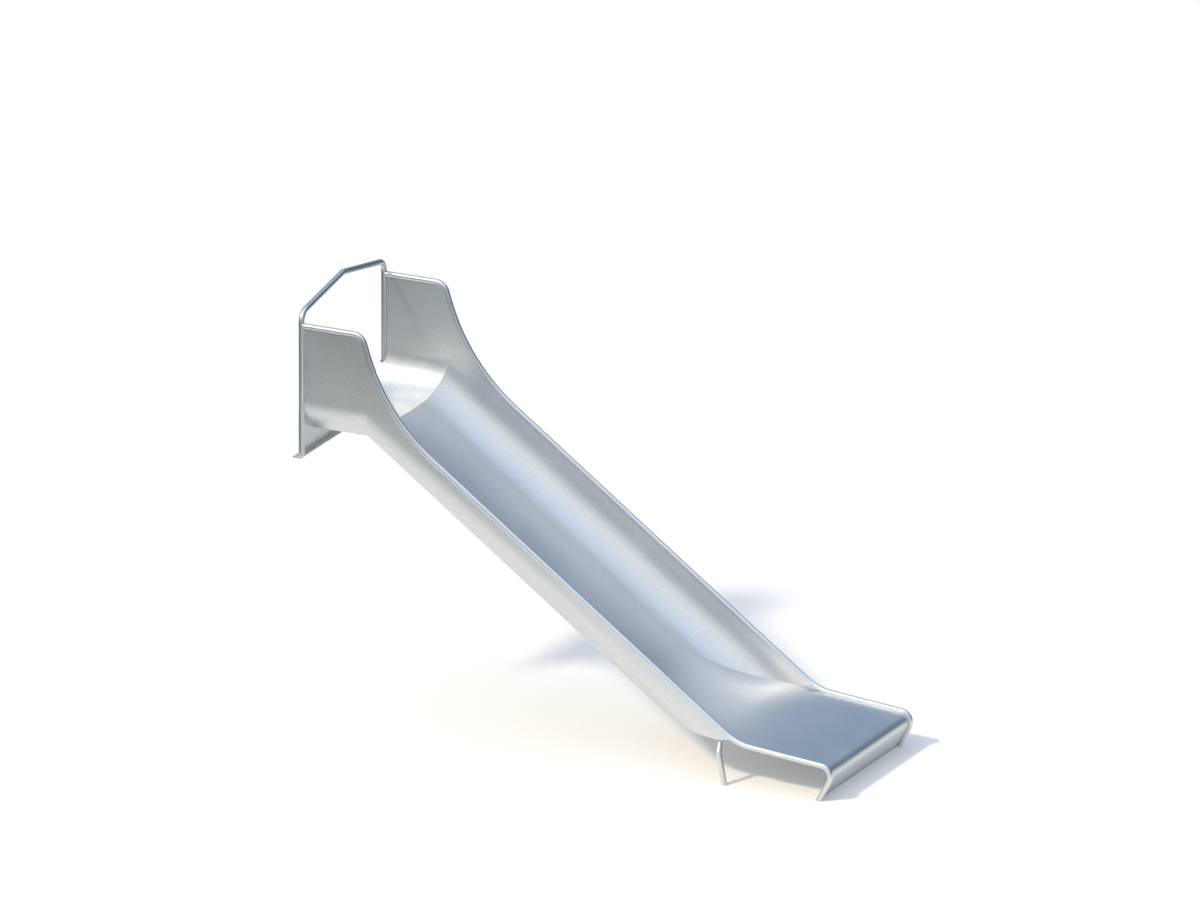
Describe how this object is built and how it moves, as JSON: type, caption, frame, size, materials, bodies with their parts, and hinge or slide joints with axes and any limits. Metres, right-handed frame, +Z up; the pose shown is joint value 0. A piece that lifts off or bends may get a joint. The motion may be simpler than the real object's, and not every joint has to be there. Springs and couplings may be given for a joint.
{
  "type": "playground slide",
  "caption": "Wide open trough slide in stainless sheet and tube: start with hoop bar and side cheeks, straight chute, run-out with rounded nose, bent legs.",
  "frame": {"origin": "underside of the head foot plate, in the middle plane, on the line through both posts and all four bolt holes", "axes": "+X runs downhill from the head to the nose, +Y is a rider's left, +Z is up; the ground lies at Z = -1.552 m"},
  "size_m": [3.3804, 1.132, 2.5112],
  "materials": {
    "tube_steel": "satin, ground and lightly polished",
    "sheet_steel": "satin, bead blasted",
    "plate_steel": "mill finish, pickled"
  },
  "bodies": {
    "root": {"left_post_bar": "tube_steel", "right_post_bar": "tube_steel", "left_head_rail": "tube_steel", "right_head_rail": "tube_steel", "left_rim": "tube_steel", "right_rim": "tube_steel", "left_runout_edge": "tube_steel", "right_runout_edge": "tube_steel", "left_cheek": "sheet_steel", "right_cheek": "sheet_steel", "start_trough": "sheet_steel", "chute_trough": "sheet_steel", "runout_sheet": "sheet_steel", "head_panel": "sheet_steel", "foot_plate": "plate_steel", "left_leg": "tube_steel", "right_leg": "tube_steel", "left_leg_pad": "plate_steel", "right_leg_pad": "plate_steel", "left_leg_cap": "plate_steel", "right_leg_cap": "plate_steel", "left_edge_cap": "plate_steel", "right_edge_cap": "plate_steel", "start_channel": "plate_steel", "chute_channel_upper": "plate_steel", "chute_channel_middle": "plate_steel", "chute_channel_lower": "plate_steel", "leg_channel": "plate_steel", "runout_channel": "plate_steel"}
  },
  "joints": []
}
